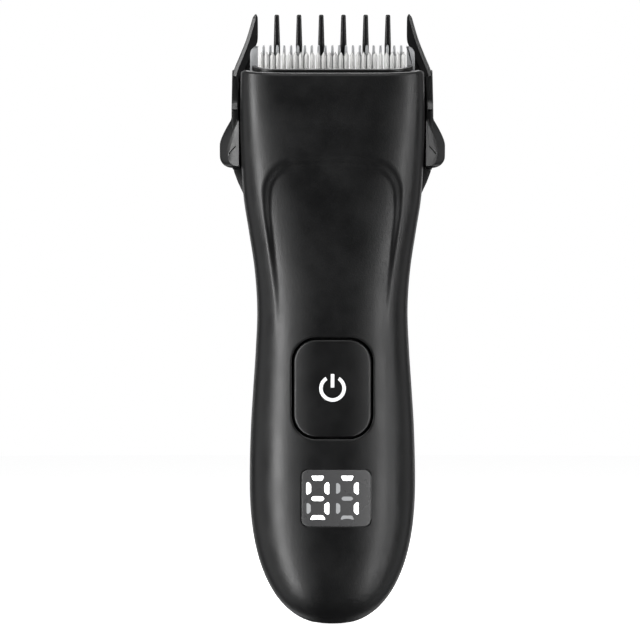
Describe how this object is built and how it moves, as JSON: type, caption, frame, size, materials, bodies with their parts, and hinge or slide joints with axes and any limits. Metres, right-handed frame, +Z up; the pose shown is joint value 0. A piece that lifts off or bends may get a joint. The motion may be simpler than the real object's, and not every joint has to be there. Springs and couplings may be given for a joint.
{
  "type": "body groomer",
  "caption": "Cordless body groomer: rounded black handle with a push button and charge display, a pull-off ceramic blade head and a clip-on guide comb.",
  "frame": {"origin": "middle of the lower end of the handle, at the lowest point", "axes": "+Z up along the handle to the comb tips, the button and display face -Y, +X to the right of them"},
  "size_m": [0.0572, 0.033, 0.155],
  "materials": {
    "shell_black": "fine-grained matt moulded plastic",
    "button_black": "satin moulded plastic",
    "mark_white": "inlaid white plastic",
    "window_smoke": "frosted smoke-grey lens",
    "comb_black": "smooth moulded plastic",
    "steel": "plain steel",
    "motor_steel": "zinc-plated can",
    "blade_steel": "ground stainless steel",
    "nickel": "nickel strip",
    "brass": "turned brass",
    "ceramic_white": "polished white zirconia",
    "nylon_white": "natural nylon",
    "frame_grey": "moulded plastic",
    "rubber_black": "matt rubber",
    "board_green": "solder-masked board",
    "cell_blue": "shrink-wrapped cell"
  },
  "bodies": {
    "handle": {"front_shell": "shell_black", "rear_shell": "shell_black", "shell_seal": "rubber_black", "shell_screw_left": "steel", "shell_screw_right": "steel", "screw_plug_left": "rubber_black", "screw_plug_right": "rubber_black", "button_seal": "rubber_black", "tactile_switch": "steel", "main_board": "board_green", "display_window": "window_smoke", "display_module": "nylon_white", "battery_cell": "cell_blue", "battery_tab_top": "nickel", "battery_tab_bottom": "nickel", "inner_frame": "frame_grey", "charging_socket": "steel", "port_collar": "rubber_black", "motor_can": "motor_steel", "motor_end_cap": "frame_grey", "motor_damper": "rubber_black", "motor_plate": "frame_grey", "motor_screw_left": "steel", "motor_screw_right": "steel", "shaft_seal": "rubber_black"},
    "button": {"power_button": "button_black", "mark_ring": "mark_white", "mark_bar": "mark_white"},
    "switch_plunger": {"switch_plunger": "frame_grey"},
    "rotor": {"motor_shaft": "steel", "eccentric_cam": "brass"},
    "blade_head": {"head_frame": "shell_black", "fixed_blade": "blade_steel", "blade_spring": "steel", "blade_screw_left": "steel", "blade_screw_right": "steel"},
    "cutter": {"ceramic_cutter": "ceramic_white", "cutter_carrier": "nylon_white"},
    "comb": {"guide_comb": "comb_black"}
  },
  "joints": [
    {"name": "button_press", "type": "slide", "parent": "handle", "child": "button", "axis": [0, 1, 0], "range_m": [0, 0.0005], "stiffness_N_per_m": 3000},
    {"name": "switch_press", "type": "slide", "parent": "handle", "child": "switch_plunger", "axis": [0, 1, 0], "range_m": [0, 0.0005]},
    {"name": "rotor_spin", "type": "hinge", "parent": "handle", "child": "rotor", "pos_m": [0, -0.0012, 0.1], "axis": [0, 0, 1], "continuous": true},
    {"name": "blade_release", "type": "slide", "parent": "handle", "child": "blade_head", "axis": [0, -0.2079, 0.9781], "range_m": [0, 0.012]},
    {"name": "cutter_stroke", "type": "slide", "parent": "blade_head", "child": "cutter", "axis": [1, 0, 0], "range_m": [-0.001, 0.001]},
    {"name": "comb_slide", "type": "slide", "parent": "handle", "child": "comb", "axis": [0, 0, 1], "range_m": [0, 0.025]}
  ],
  "couplings": [
    {"joint": "switch_press", "follows": "button_press", "ratio": 1}
  ]
}
